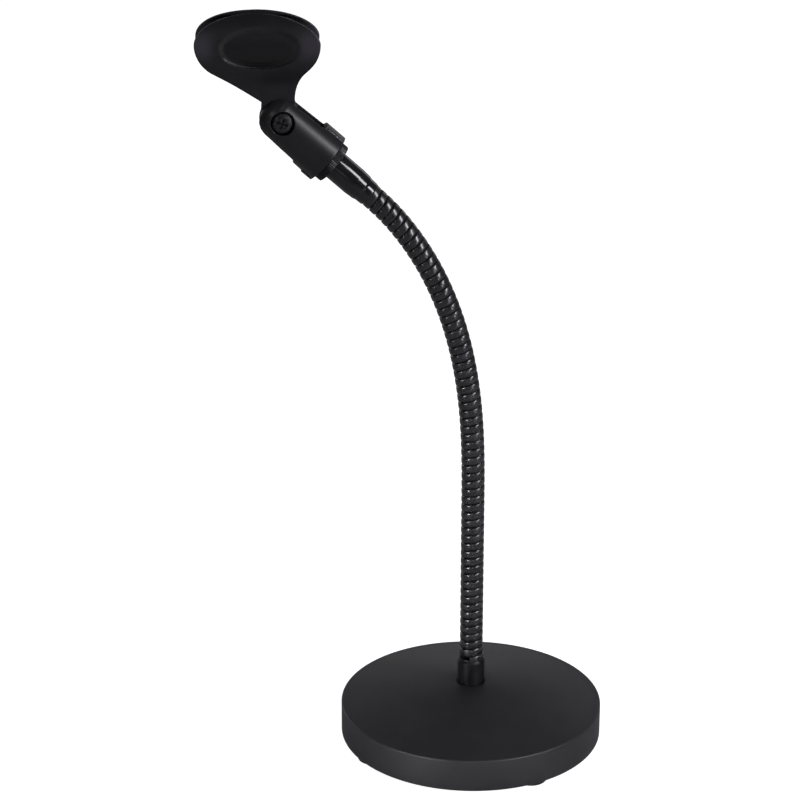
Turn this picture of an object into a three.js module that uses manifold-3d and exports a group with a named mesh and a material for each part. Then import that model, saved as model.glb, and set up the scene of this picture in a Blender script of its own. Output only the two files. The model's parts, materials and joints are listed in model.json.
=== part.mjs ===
// Desktop microphone stand: round weighted base, gooseneck, and a tilting clip for a hand microphone.
// Millimetres, +Z up. The origin is the centre of the base's underside, the plane z = 0.
// The neck bends in the XZ plane and leans toward -X. The fork is screwed on slightly past that plane,
// so the clip tilts about an axis that is HEAD_TURN away from Y.
import * as THREE from "three";
import { mergeVertices } from "three/addons/utils/BufferGeometryUtils.js";
import ManifoldModule from "manifold-3d";

const wasm = await ManifoldModule();
wasm.setup();

// ---------------------------------------------------------------- driving dimensions
const CLEARANCE = 0.3; // air kept between neighbouring pieces

// weighted base
const BASE_RADIUS = 76.2; // 6 in across
const BASE_SIDE_HEIGHT = 19.3;
const BASE_CROWN_Z = 31.4; // height of the domed top at the centre
const BASE_EDGE_CHAMFER = 0.9;
const RIM_INNER_RADIUS = 55; // the rim is solid from here outward
const BOSS_RADIUS = 17; // solid boss around the centre bolt
const CAVITY_CEILING_Z = 19.5; // hollow underside between boss and rim
const FOOT_RING_RADIUS = 65.4;
const FOOT_RADIUS = 9.5;
const FOOT_DROP = 2.2; // how far the feet stand below the casting
const FOOT_SOCKET_DEPTH = 2;
const FOOT_START_ANGLE = 30; // degrees from +X, the other feet follow at quarter turns
const FOOT_COUNT = 4;

// centre bolt under the base
const BOLT_HEAD_ACROSS_FLATS = 13; // M8
const BOLT_HEAD_HEIGHT = 5.3;
const BOLT_SHANK_RADIUS = 3.7;
const BOLT_TIP_Z = 41;
const BOLT_HOLE_RADIUS = 4.3;
const COUNTERBORE_RADIUS = 11.5;
const LOCK_WASHER_THICKNESS = 1.8;
const FLAT_WASHER_THICKNESS = 1.6;

// ferrule that holds the neck on the base
const FERRULE_RADIUS = 7.9;
const FERRULE_SEAT_DEPTH = 1.5;
const FERRULE_TOP_Z = 46.45;
const NECK_START_Z = 48.45; // first bending point of the neck

// gooseneck: it runs straight up, then curls over with a growing curvature
const LINK_COUNT = 20;
const RIBS_PER_LINK = 3; // three turns of the outer wire
const RIB_PITCH = 4.9;
const NECK_STRAIGHT_LENGTH = 101; // length before the curl begins
const NECK_CURL_POWER = 1.7;
const NECK_LEAN = THREE.MathUtils.degToRad(48.4); // lean from vertical at the upper end
const RIB_RADIUS = 6.7;
const RIB_CREST_HALF_WIDTH = 1.2;
const GROOVE_RADIUS = 5.8;
const WIRE_BORE_RADIUS = 4.75;
const COIL_OUTER_RADIUS = 4.4;
const COIL_INNER_RADIUS = 2.7;
const LINK_END_ANGLE = THREE.MathUtils.degToRad(9.5); // link ends are cut back by this cone
const NECK_FACETS = 12;

// head: distances run down the head's own axis, starting at the clip pivot
const PIVOT_TO_NECK = 63.4;
const HEAD_TURN = THREE.MathUtils.degToRad(4.5); // turn of fork and clip about the head's own axis
const UPPER_FERRULE_RADIUS = 8.1;
const UPPER_FERRULE_SHOULDER = 37.5; // distance from the pivot to the stem's shoulder
const UPPER_FERRULE_TAPER_START = 51.5;
const THREAD_RADIUS = 7.6; // 5/8 in thread, drawn plain
const THREAD_END = 26.6;

const YOKE_EAR_RADIUS = 12.6; // rounded end of the fork, around the pivot
const YOKE_WAIST_RADIUS = 13.2;
const YOKE_FOOT_RADIUS = 14.3;
const YOKE_LENGTH = 32.5; // from pivot to lower end
const YOKE_SLOT_WIDTH = 12.6;
const YOKE_SLOT_DEPTH = 19; // how far the slot runs past the pivot
const GRIP_RADIUS = 14.75;
const GRIP_HALF_ANGLE = THREE.MathUtils.degToRad(24);
const UPPER_GRIP_LENGTH = 13.2;
const LOWER_GRIP_LENGTH = 6.8;
const SCREW_RECESS_RADIUS = 6.4;
const SCREW_RECESS_FLOOR = 8.9; // distance of the recess floor from the middle plane
const PIVOT_BORE_RADIUS = 2.8;

const INSERT_SLEEVE_RADIUS = 9.6;
const INSERT_COLLAR_RADIUS = 11.8;
const INSERT_BORE_RADIUS = 7.9;
const INSERT_TOP = 25.3;
const INSERT_COLLAR_TOP = 32.8;
const INSERT_COLLAR_END = 37.2;

// clip: a split tube on a tongue
const CLIP_AXIS_FROM_PIVOT_X = -12.7;
const CLIP_AXIS_FROM_PIVOT_Z = 43.2;
const CLIP_OUTER_RADIUS = 17.3;
const CLIP_BORE_RADIUS = 14.3;
const CLIP_HALF_LENGTH = 33.6;
const JAW_HALF_HEIGHT = 15.6; // oval outline of the jaws seen from the side
const JAW_OUTER_POWER = 2.05; // fullness of the oval toward its free end
const JAW_INNER_POWER = 1.78; // and toward the neck's side
const CLIP_GAP = 14; // opening between the jaw tips
const TONGUE_WIDTH = 12;
const TONGUE_RADIUS = 11.5;
const PANEL_HALF_LENGTH = 20.6; // oval finger panel sunk into each jaw
const PANEL_HALF_HEIGHT = 10.2;
const PANEL_SHIFT_X = 1.2; // the panels sit a little toward the neck and below the clip's axis
const PANEL_SHIFT_Z = -2;
const PANEL_DEPTH = 0.9;

// pivot screw and nut
const SCREW_HEAD_RADIUS = 5.6;
const SCREW_HEAD_HEIGHT = 2.8;
const SCREW_SHANK_RADIUS = 2.4;
const NUT_ACROSS_FLATS = 8;
const NUT_HEIGHT = 3.4;

// ---------------------------------------------------------------- helpers
const group = new THREE.Group();
group.name = "desktop_mic_stand";

const FINISHES = {
  powder_coat_black: { color: 0x26262a, roughness: 0.75, metalness: 0.2 },
  neck_gloss_black: { color: 0x17171a, roughness: 0.25, metalness: 0.6 },
  coil_steel: { color: 0x34353a, roughness: 0.45, metalness: 0.8 },
  ferrule_gloss_black: { color: 0x141416, roughness: 0.18, metalness: 0.5 },
  ferrule_satin_black: { color: 0x1c1c1f, roughness: 0.45, metalness: 0.5 },
  yoke_plastic_black: { color: 0x222326, roughness: 0.5, metalness: 0 },
  clip_plastic_black: { color: 0x1a1a1c, roughness: 0.65, metalness: 0 },
  hardware_black_oxide: { color: 0x1e1e20, roughness: 0.4, metalness: 0.8 },
  zinc_plated_steel: { color: 0x9a9ea3, roughness: 0.35, metalness: 1 },
  foot_rubber: { color: 0x121212, roughness: 0.9, metalness: 0 },
};

function addPiece(name, geometry, finish) {
  const material = new THREE.MeshStandardMaterial(FINISHES[finish]);
  material.name = finish;
  const mesh = new THREE.Mesh(geometry, material);
  mesh.name = name;
  group.add(mesh);
}

// A turned shape: pairs of radius and height, turned about the Z axis.
function turned(profile, facets) {
  const points = profile.map(([radius, height]) => new THREE.Vector2(radius, height));
  const geometry = new THREE.LatheGeometry(points, facets);
  geometry.rotateX(Math.PI / 2);
  return geometry;
}

// A ring-shaped profile has no point on the axis, so its outline is closed on itself.
function turnedRing(profile, facets) {
  return turned([...profile, profile[0]], facets);
}

// Moves a shape drawn up the Z axis so that it starts at `start` and runs along `direction`.
function placeAlong(geometry, start, direction) {
  const turn = new THREE.Quaternion().setFromUnitVectors(new THREE.Vector3(0, 0, 1), direction);
  geometry.applyQuaternion(turn);
  geometry.translate(start.x, start.y, start.z);
  return geometry;
}

function toSolid(geometry) {
  const bare = geometry.clone();
  bare.deleteAttribute("normal");
  bare.deleteAttribute("uv");
  const welded = mergeVertices(bare, 1e-4);
  const mesh = new wasm.Mesh({
    numProp: 3,
    vertProperties: new Float32Array(welded.attributes.position.array),
    triVerts: new Uint32Array(welded.index.array),
  });
  return new wasm.Manifold(mesh);
}

function toGeometry(solid) {
  const mesh = solid.getMesh();
  const geometry = new THREE.BufferGeometry();
  geometry.setAttribute("position", new THREE.BufferAttribute(new Float32Array(mesh.vertProperties), 3));
  geometry.setIndex(new THREE.BufferAttribute(new Uint32Array(mesh.triVerts), 1));
  geometry.computeVertexNormals();
  return geometry;
}

// A cylinder drawn from one point to another.
function rod(start, end, radius, facets) {
  const direction = end.clone().sub(start);
  const length = direction.length();
  const geometry = new THREE.CylinderGeometry(radius, radius, length, facets);
  geometry.rotateX(Math.PI / 2);
  geometry.translate(0, 0, length / 2);
  return placeAlong(geometry, start, direction.normalize());
}

// A flat outline in X and Z, thickened along Y to both sides of the middle plane.
function slab(shape, thickness, curveSteps) {
  const geometry = new THREE.ExtrudeGeometry(shape, {
    depth: thickness,
    bevelEnabled: false,
    curveSegments: curveSteps,
  });
  geometry.translate(0, 0, -thickness / 2);
  geometry.rotateX(Math.PI / 2);
  return geometry;
}

function point(x, y, z) {
  return new THREE.Vector3(x, y, z);
}

// ---------------------------------------------------------------- centre line of the neck
// Lean from vertical at a distance measured along the neck from the top of the lower ferrule.
const NECK_FIRST = NECK_START_Z - FERRULE_TOP_Z;
const LINK_LENGTH = RIBS_PER_LINK * RIB_PITCH;
const NECK_END = NECK_FIRST + LINK_COUNT * LINK_LENGTH;

function leanAt(distance) {
  const curled = Math.max(0, distance - NECK_STRAIGHT_LENGTH);
  return NECK_LEAN * (curled / (NECK_END - NECK_STRAIGHT_LENGTH)) ** NECK_CURL_POWER;
}

function neckPoints() {
  const points = [point(0, 0, NECK_START_Z)];
  const stepsPerLink = 40;
  const step = LINK_LENGTH / stepsPerLink;
  const here = point(0, 0, NECK_START_Z);
  for (let link = 0; link < LINK_COUNT; link += 1) {
    for (let i = 0; i < stepsPerLink; i += 1) {
      const lean = leanAt(NECK_FIRST + link * LINK_LENGTH + (i + 0.5) * step);
      here.x -= Math.sin(lean) * step;
      here.z += Math.cos(lean) * step;
    }
    points.push(here.clone());
  }
  return points;
}

const neck = neckPoints();
const neckTop = neck[LINK_COUNT];
const headAxis = point(-Math.sin(NECK_LEAN), 0, Math.cos(NECK_LEAN)); // up the head
const headSide = point(Math.cos(NECK_LEAN), 0, Math.sin(NECK_LEAN)); // across it, up and to the right
const pivot = neckTop.clone().addScaledVector(headAxis, PIVOT_TO_NECK);

// Turns a finished piece of the fork or clip about the head's own axis.
function turnedHead(geometry) {
  geometry.translate(-pivot.x, -pivot.y, -pivot.z);
  geometry.applyMatrix4(new THREE.Matrix4().makeRotationAxis(headAxis, HEAD_TURN));
  geometry.translate(pivot.x, pivot.y, pivot.z);
  return geometry;
}

// ---------------------------------------------------------------- base
function baseProfile() {
  const seatFloor = BASE_CROWN_Z - FERRULE_SEAT_DEPTH;
  const washerSeat =
    BOLT_HEAD_HEIGHT + LOCK_WASHER_THICKNESS + FLAT_WASHER_THICKNESS + 3 * CLEARANCE;
  const dome = new THREE.QuadraticBezierCurve(
    new THREE.Vector2(BASE_RADIUS - BASE_EDGE_CHAMFER, BASE_SIDE_HEIGHT),
    new THREE.Vector2(40, 28.4),
    new THREE.Vector2(11, BASE_CROWN_Z),
  );
  const domePoints = dome.getPoints(5).map((p) => [p.x, p.y]);
  return [
    [BOLT_HOLE_RADIUS, washerSeat],
    [COUNTERBORE_RADIUS, washerSeat],
    [COUNTERBORE_RADIUS, 0],
    [BOSS_RADIUS, 0],
    [BOSS_RADIUS, CAVITY_CEILING_Z],
    [RIM_INNER_RADIUS, CAVITY_CEILING_Z - 3.5],
    [RIM_INNER_RADIUS, 0],
    [BASE_RADIUS - BASE_EDGE_CHAMFER, 0],
    [BASE_RADIUS, BASE_EDGE_CHAMFER],
    [BASE_RADIUS, BASE_SIDE_HEIGHT - BASE_EDGE_CHAMFER],
    ...domePoints,
    [FERRULE_RADIUS + CLEARANCE, BASE_CROWN_Z],
    [FERRULE_RADIUS + CLEARANCE, seatFloor],
    [BOLT_HOLE_RADIUS, seatFloor],
  ];
}

function footCentre(index) {
  const angle = THREE.MathUtils.degToRad(FOOT_START_ANGLE + (index * 360) / FOOT_COUNT);
  return point(FOOT_RING_RADIUS * Math.cos(angle), FOOT_RING_RADIUS * Math.sin(angle), 0);
}

function baseCasting() {
  let casting = toSolid(turnedRing(baseProfile(), 60));
  for (let index = 0; index < FOOT_COUNT; index += 1) {
    const centre = footCentre(index);
    const below = centre.clone().setZ(-1);
    const floor = centre.clone().setZ(FOOT_SOCKET_DEPTH);
    casting = casting.subtract(toSolid(rod(below, floor, FOOT_RADIUS + CLEARANCE, 20)));
  }
  return toGeometry(casting);
}

function rubberFoot(index) {
  const top = FOOT_SOCKET_DEPTH - CLEARANCE;
  const geometry = turned(
    [
      [0, -FOOT_DROP],
      [FOOT_RADIUS - 0.6, -FOOT_DROP],
      [FOOT_RADIUS, -FOOT_DROP + 0.6],
      [FOOT_RADIUS, top],
      [0, top],
    ],
    20,
  );
  const centre = footCentre(index);
  geometry.translate(centre.x, centre.y, 0);
  return geometry;
}

// ---------------------------------------------------------------- centre bolt
function baseBolt() {
  const headRadius = BOLT_HEAD_ACROSS_FLATS / 2 / Math.cos(Math.PI / 6);
  const head = toSolid(rod(point(0, 0, 0), point(0, 0, BOLT_HEAD_HEIGHT), headRadius, 6));
  const shank = toSolid(
    turned(
      [
        [0, BOLT_HEAD_HEIGHT - 1],
        [BOLT_SHANK_RADIUS, BOLT_HEAD_HEIGHT - 1],
        [BOLT_SHANK_RADIUS, BOLT_TIP_Z - 0.8],
        [BOLT_SHANK_RADIUS - 0.8, BOLT_TIP_Z],
        [0, BOLT_TIP_Z],
      ],
      20,
    ),
  );
  return toGeometry(head.add(shank));
}

function washer(bottom, thickness, innerRadius, outerRadius) {
  return turnedRing(
    [
      [innerRadius, bottom],
      [outerRadius, bottom],
      [outerRadius, bottom + thickness],
      [innerRadius, bottom + thickness],
    ],
    24,
  );
}

// The spring lock washer is a ring cut through once.
function lockWasher() {
  const bottom = BOLT_HEAD_HEIGHT + CLEARANCE;
  const ring = toSolid(washer(bottom, LOCK_WASHER_THICKNESS, 4.1, 6.6));
  const cut = new THREE.BoxGeometry(6, 0.8, 8);
  cut.rotateX(THREE.MathUtils.degToRad(25));
  cut.translate(5.5, 0, bottom + LOCK_WASHER_THICKNESS / 2);
  return toGeometry(ring.subtract(toSolid(cut)));
}

function flatWasher() {
  const bottom = BOLT_HEAD_HEIGHT + LOCK_WASHER_THICKNESS + 2 * CLEARANCE;
  return washer(bottom, FLAT_WASHER_THICKNESS, 4.2, 8.5);
}

// ---------------------------------------------------------------- ferrules
function lowerFerrule() {
  const bottom = BASE_CROWN_Z - FERRULE_SEAT_DEPTH + CLEARANCE;
  const boreRadius = BOLT_SHANK_RADIUS + CLEARANCE;
  return turned(
    [
      [0, BOLT_TIP_Z + 1],
      [boreRadius, BOLT_TIP_Z + 1],
      [boreRadius, bottom],
      [FERRULE_RADIUS, bottom],
      [FERRULE_RADIUS, FERRULE_TOP_Z - 1.2],
      [FERRULE_RADIUS - 0.9, FERRULE_TOP_Z],
      [FERRULE_RADIUS - 0.9, FERRULE_TOP_Z + 0.8],
      [0, FERRULE_TOP_Z + 0.8],
    ],
    32,
  );
}

// Distances in this profile run up from the neck's last point.
function upperFerrule() {
  const taperEnd = PIVOT_TO_NECK - UPPER_FERRULE_TAPER_START;
  const shoulder = PIVOT_TO_NECK - UPPER_FERRULE_SHOULDER;
  const threadEnd = PIVOT_TO_NECK - THREAD_END;
  const geometry = turned(
    [
      [0, 0.4],
      [6.6, 0.4],
      [7, 0.9],
      [7.1, 2],
      [7.6, 5.5],
      [7.95, 9],
      [UPPER_FERRULE_RADIUS, taperEnd],
      [UPPER_FERRULE_RADIUS, shoulder],
      [THREAD_RADIUS, shoulder],
      [THREAD_RADIUS, threadEnd - 1],
      [THREAD_RADIUS - 1, threadEnd],
      [0, threadEnd],
    ],
    28,
  );
  return placeAlong(geometry, neckTop, headAxis);
}

// ---------------------------------------------------------------- gooseneck links
// The cut-back of a link's end at a given radius.
function endCut(radius) {
  return radius * Math.tan(LINK_END_ANGLE);
}

// One link of the outer wire: a sleeve with rounded ribs, one for each turn.
function wireLink(index) {
  const start = neck[index];
  const direction = neck[index + 1].clone().sub(start);
  const length = direction.length();
  const pitch = length / RIBS_PER_LINK;
  const profile = [[WIRE_BORE_RADIUS, endCut(WIRE_BORE_RADIUS)]];
  for (let rib = 0; rib < RIBS_PER_LINK; rib += 1) {
    const middle = (rib + 0.5) * pitch;
    profile.push([RIB_RADIUS, middle - RIB_CREST_HALF_WIDTH]);
    profile.push([RIB_RADIUS, middle + RIB_CREST_HALF_WIDTH]);
    if (rib < RIBS_PER_LINK - 1) {
      profile.push([GROOVE_RADIUS, middle + pitch / 2]);
    }
  }
  profile.push([WIRE_BORE_RADIUS, length - endCut(WIRE_BORE_RADIUS)]);
  const geometry = turnedRing(profile, NECK_FACETS);
  return placeAlong(geometry, start, direction.normalize());
}

// One link of the inner coil, drawn as a plain sleeve inside the outer wire.
function coilLink(index) {
  const start = neck[index];
  const direction = neck[index + 1].clone().sub(start);
  const length = direction.length();
  const outerCut = endCut(COIL_OUTER_RADIUS);
  const innerCut = endCut(COIL_INNER_RADIUS);
  const geometry = turnedRing(
    [
      [COIL_INNER_RADIUS, innerCut],
      [COIL_OUTER_RADIUS, outerCut],
      [COIL_OUTER_RADIUS, length - outerCut],
      [COIL_INNER_RADIUS, length - innerCut],
    ],
    NECK_FACETS,
  );
  return placeAlong(geometry, start, direction.normalize());
}

// ---------------------------------------------------------------- fork that carries the clip
// A turned piece of the head. Its profile gives radius and distance below the pivot.
function headTurned(profile, facets) {
  const geometry = turned(
    profile.map(([radius, distance]) => [radius, -distance]),
    facets,
  );
  return placeAlong(geometry, pivot, headAxis);
}

// Side outline of the fork: straight sides and a round end about the pivot.
function yokeOutline() {
  const shape = new THREE.Shape();
  shape.moveTo(YOKE_EAR_RADIUS + 4, -YOKE_LENGTH - 5);
  shape.lineTo(YOKE_EAR_RADIUS + 4, -16);
  shape.lineTo(YOKE_EAR_RADIUS, 0);
  shape.absarc(0, 0, YOKE_EAR_RADIUS, 0, Math.PI, false);
  shape.lineTo(-YOKE_EAR_RADIUS - 4, -16);
  shape.lineTo(-YOKE_EAR_RADIUS - 4, -YOKE_LENGTH - 5);
  shape.closePath();
  return shape;
}

// A raised grip on one side of the fork, as a piece of a thick ring.
function gripPad(side, gripLength) {
  const shape = new THREE.Shape();
  const middle = side > 0 ? 0 : Math.PI;
  const inner = YOKE_FOOT_RADIUS - 4;
  shape.absarc(0, 0, GRIP_RADIUS, middle - GRIP_HALF_ANGLE, middle + GRIP_HALF_ANGLE, false);
  shape.absarc(0, 0, inner, middle + GRIP_HALF_ANGLE, middle - GRIP_HALF_ANGLE, true);
  shape.closePath();
  const geometry = new THREE.ExtrudeGeometry(shape, {
    depth: gripLength - 1,
    bevelEnabled: true,
    bevelThickness: 0.5,
    bevelSize: 0.5,
    bevelOffset: -0.5,
    bevelSegments: 1,
    curveSegments: 8,
  });
  geometry.translate(0, 0, -YOKE_LENGTH + 0.5);
  return tiltWithHead(geometry);
}

// Turns a shape drawn upright about the origin so that it leans with the head at the pivot.
function tiltWithHead(geometry) {
  geometry.rotateY(-NECK_LEAN);
  geometry.translate(pivot.x, pivot.y, pivot.z);
  return geometry;
}

function acrossPivot(fromY, toY, radius, facets) {
  return toSolid(rod(point(pivot.x, fromY, pivot.z), point(pivot.x, toY, pivot.z), radius, facets));
}

function clipYoke() {
  const cone = toSolid(
    headTurned(
      [
        [0, YOKE_LENGTH],
        [YOKE_FOOT_RADIUS - 0.8, YOKE_LENGTH],
        [YOKE_FOOT_RADIUS, YOKE_LENGTH - 0.9],
        [YOKE_WAIST_RADIUS, 0],
        [YOKE_WAIST_RADIUS - 0.2, -4],
        [YOKE_WAIST_RADIUS - 1.6, -9],
        [YOKE_WAIST_RADIUS - 4, -YOKE_EAR_RADIUS - 1],
        [0, -YOKE_EAR_RADIUS - 1],
      ],
      40,
    ),
  );
  const outline = toSolid(tiltWithHead(slab(yokeOutline(), 40, 16)));
  const slot = new THREE.BoxGeometry(50, YOKE_SLOT_WIDTH, 40);
  slot.translate(0, 0, 20 - YOKE_SLOT_DEPTH);
  const socket = headTurned(
    [
      [0, YOKE_LENGTH + 2],
      [INSERT_SLEEVE_RADIUS + CLEARANCE, YOKE_LENGTH + 2],
      [INSERT_SLEEVE_RADIUS + CLEARANCE, INSERT_TOP - CLEARANCE],
      [0, INSERT_TOP - CLEARANCE],
    ],
    28,
  );
  const nutRadius = NUT_ACROSS_FLATS / 2 / Math.cos(Math.PI / 6) + CLEARANCE;
  return toGeometry(
    cone
      .intersect(outline)
      .add(toSolid(gripPad(1, UPPER_GRIP_LENGTH)))
      .add(toSolid(gripPad(-1, LOWER_GRIP_LENGTH)))
      .subtract(toSolid(tiltWithHead(slot)))
      .subtract(toSolid(socket))
      .subtract(acrossPivot(-20, -SCREW_RECESS_FLOOR, SCREW_RECESS_RADIUS, 28))
      .subtract(acrossPivot(20, SCREW_RECESS_FLOOR - 0.5, nutRadius, 6))
      .subtract(acrossPivot(-20, 20, PIVOT_BORE_RADIUS, 20)),
  );
}

// Threaded insert: a sleeve pressed into the fork, ending in the collar seen below it.
function threadInsert() {
  const geometry = turnedRing(
    [
      [INSERT_BORE_RADIUS, -INSERT_COLLAR_END],
      [INSERT_COLLAR_RADIUS - 1.1, -INSERT_COLLAR_END],
      [INSERT_COLLAR_RADIUS, -INSERT_COLLAR_END + 1.1],
      [INSERT_COLLAR_RADIUS, -INSERT_COLLAR_TOP - 0.5],
      [INSERT_COLLAR_RADIUS - 0.5, -INSERT_COLLAR_TOP],
      [INSERT_SLEEVE_RADIUS, -INSERT_COLLAR_TOP],
      [INSERT_SLEEVE_RADIUS, -INSERT_TOP],
      [INSERT_BORE_RADIUS, -INSERT_TOP],
    ],
    28,
  );
  return placeAlong(geometry, pivot, headAxis);
}

// ---------------------------------------------------------------- microphone clip
const clipCentre = point(pivot.x + CLIP_AXIS_FROM_PIVOT_X, 0, pivot.z + CLIP_AXIS_FROM_PIVOT_Z);

function alongClip(radius, halfLength, facets) {
  const start = point(clipCentre.x - halfLength, 0, clipCentre.z);
  const end = point(clipCentre.x + halfLength, 0, clipCentre.z);
  return toSolid(rod(start, end, radius, facets));
}

// Side outline of the whole clip: an oval for the jaws running down into the tongue.
function clipOutline() {
  const shape = new THREE.Shape();
  const steps = 22;
  const ovalPoint = (angle) => {
    const across = Math.cos(angle);
    const up = Math.sin(angle);
    const power = across > 0 ? JAW_INNER_POWER : JAW_OUTER_POWER;
    return [
      clipCentre.x + CLIP_HALF_LENGTH * Math.sign(across) * Math.abs(across) ** (2 / power),
      clipCentre.z + JAW_HALF_HEIGHT * Math.max(0, up) ** (2 / power),
    ];
  };
  for (let i = 0; i <= steps; i += 1) {
    const [x, z] = ovalPoint((i / steps) * Math.PI);
    if (i === 0) {
      shape.moveTo(x, z);
    } else {
      shape.lineTo(x, z);
    }
  }
  const left = clipCentre.x - CLIP_HALF_LENGTH;
  const right = clipCentre.x + CLIP_HALF_LENGTH;
  shape.bezierCurveTo(left, clipCentre.z - 5, left + 2.4, clipCentre.z - 11, left + 8.6, clipCentre.z - 15.7);
  shape.lineTo(pivot.x - 11, pivot.z + 10.7);
  shape.quadraticCurveTo(pivot.x - TONGUE_RADIUS, pivot.z + 8, pivot.x - TONGUE_RADIUS, pivot.z);
  shape.absarc(pivot.x, pivot.z, TONGUE_RADIUS, Math.PI, Math.PI * 2, false);
  shape.quadraticCurveTo(pivot.x + 6.6, pivot.z + 8, pivot.x + 6.9, pivot.z + 12.4);
  shape.quadraticCurveTo(pivot.x + 7.5, pivot.z + 21.4, pivot.x + 12.8, pivot.z + 27);
  shape.bezierCurveTo(pivot.x + 17.5, pivot.z + 31.4, right, pivot.z + 36, right, clipCentre.z);
  shape.closePath();
  return shape;
}

// End view of the tongue: as wide as the tube at the top, thin where it enters the fork.
function tongueOutline() {
  const half = TONGUE_WIDTH / 2;
  const top = clipCentre.z - 6;
  const thinFrom = pivot.z + 17;
  const wide = CLIP_OUTER_RADIUS - 1.2;
  const shape = new THREE.Shape();
  shape.moveTo(-wide, top);
  shape.bezierCurveTo(-wide, top - 9, -half, thinFrom + 7, -half, thinFrom);
  shape.lineTo(-half, pivot.z - 20);
  shape.lineTo(half, pivot.z - 20);
  shape.lineTo(half, thinFrom);
  shape.bezierCurveTo(half, thinFrom + 7, wide, top - 9, wide, top);
  shape.closePath();
  return shape;
}

// An outline in Y and Z, thickened along X about the clip.
function crossSlab(shape, thickness, curveSteps) {
  const geometry = slab(shape, thickness, curveSteps);
  geometry.rotateZ(Math.PI / 2);
  geometry.translate(clipCentre.x, 0, 0);
  return geometry;
}

// The oval finger panels are sunk by an even depth into the round of both jaws.
function fingerPanels() {
  const oval = new THREE.Shape();
  const centreX = clipCentre.x + PANEL_SHIFT_X;
  const centreZ = clipCentre.z + PANEL_SHIFT_Z;
  oval.absellipse(centreX, centreZ, PANEL_HALF_LENGTH, PANEL_HALF_HEIGHT, 0, Math.PI * 2);
  const throughBoth = toSolid(slab(oval, 60, 28));
  return throughBoth.subtract(alongClip(CLIP_OUTER_RADIUS - PANEL_DEPTH, 60, 44));
}

function micClip() {
  const tube = alongClip(CLIP_OUTER_RADIUS, CLIP_HALF_LENGTH, 44);
  const tongue = toSolid(crossSlab(tongueOutline(), 90, 7));
  const outline = toSolid(slab(clipOutline(), 50, 8));
  const gap = new THREE.BoxGeometry(90, CLIP_GAP, 40);
  gap.translate(clipCentre.x, 0, clipCentre.z + 20);
  return toGeometry(
    tube
      .add(tongue)
      .intersect(outline)
      .subtract(alongClip(CLIP_BORE_RADIUS, 60, 40))
      .subtract(toSolid(gap))
      .subtract(fingerPanels())
      .subtract(acrossPivot(-20, 20, PIVOT_BORE_RADIUS, 20)),
  );
}

// ---------------------------------------------------------------- pivot screw and nut
function pivotScrew() {
  const headBack = -SCREW_RECESS_FLOOR - CLEARANCE;
  const headFront = headBack - SCREW_HEAD_HEIGHT;
  const head = toSolid(
    turned(
      [
        [0, 0],
        [SCREW_HEAD_RADIUS, 0],
        [SCREW_HEAD_RADIUS, 1.5],
        [SCREW_HEAD_RADIUS - 0.9, 2.4],
        [SCREW_HEAD_RADIUS - 2.4, SCREW_HEAD_HEIGHT],
        [0, SCREW_HEAD_HEIGHT],
      ],
      24,
    )
      .rotateX(Math.PI / 2)
      .translate(pivot.x, headBack, pivot.z),
  );
  const shank = acrossPivot(headBack - 0.5, 13.5, SCREW_SHANK_RADIUS, 16);
  let screw = head.add(shank);
  for (const turn of [20, 110]) {
    const blade = new THREE.BoxGeometry(6.2, 3, 1.1);
    blade.rotateY(THREE.MathUtils.degToRad(turn));
    blade.translate(pivot.x, headFront, pivot.z);
    screw = screw.subtract(toSolid(blade));
  }
  return toGeometry(screw);
}

function pivotNut() {
  const start = SCREW_RECESS_FLOOR - 0.5 + CLEARANCE;
  const radius = NUT_ACROSS_FLATS / 2 / Math.cos(Math.PI / 6);
  const body = acrossPivot(start, start + NUT_HEIGHT, radius, 6);
  return toGeometry(body.subtract(acrossPivot(0, 30, SCREW_SHANK_RADIUS + CLEARANCE, 16)));
}

// ---------------------------------------------------------------- assembly
addPiece("base_casting", baseCasting(), "powder_coat_black");
for (let index = 0; index < FOOT_COUNT; index += 1) {
  addPiece(`rubber_foot_${index + 1}`, rubberFoot(index), "foot_rubber");
}
addPiece("base_bolt", baseBolt(), "zinc_plated_steel");
addPiece("lock_washer", lockWasher(), "zinc_plated_steel");
addPiece("flat_washer", flatWasher(), "zinc_plated_steel");
addPiece("lower_ferrule", lowerFerrule(), "ferrule_satin_black");
for (let index = 0; index < LINK_COUNT; index += 1) {
  const number = String(index + 1).padStart(2, "0");
  addPiece(`wire_link_${number}`, wireLink(index), "neck_gloss_black");
  addPiece(`coil_link_${number}`, coilLink(index), "coil_steel");
}
addPiece("upper_ferrule", upperFerrule(), "ferrule_gloss_black");
addPiece("thread_insert", turnedHead(threadInsert()), "hardware_black_oxide");
addPiece("clip_yoke", turnedHead(clipYoke()), "yoke_plastic_black");
addPiece("mic_clip", turnedHead(micClip()), "clip_plastic_black");
addPiece("pivot_screw", turnedHead(pivotScrew()), "hardware_black_oxide");
addPiece("pivot_nut", turnedHead(pivotNut()), "hardware_black_oxide");

export default group;
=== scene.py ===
"""Looks for a desktop gooseneck microphone stand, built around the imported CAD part.

Shapes are drawn in millimetres and stored in metres, in the frame of the part: +Z up, and the neck
curls over in the XZ plane, toward -X.
"""

import json
import math

import bmesh
import bpy
from mathutils import Matrix, Vector

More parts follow.
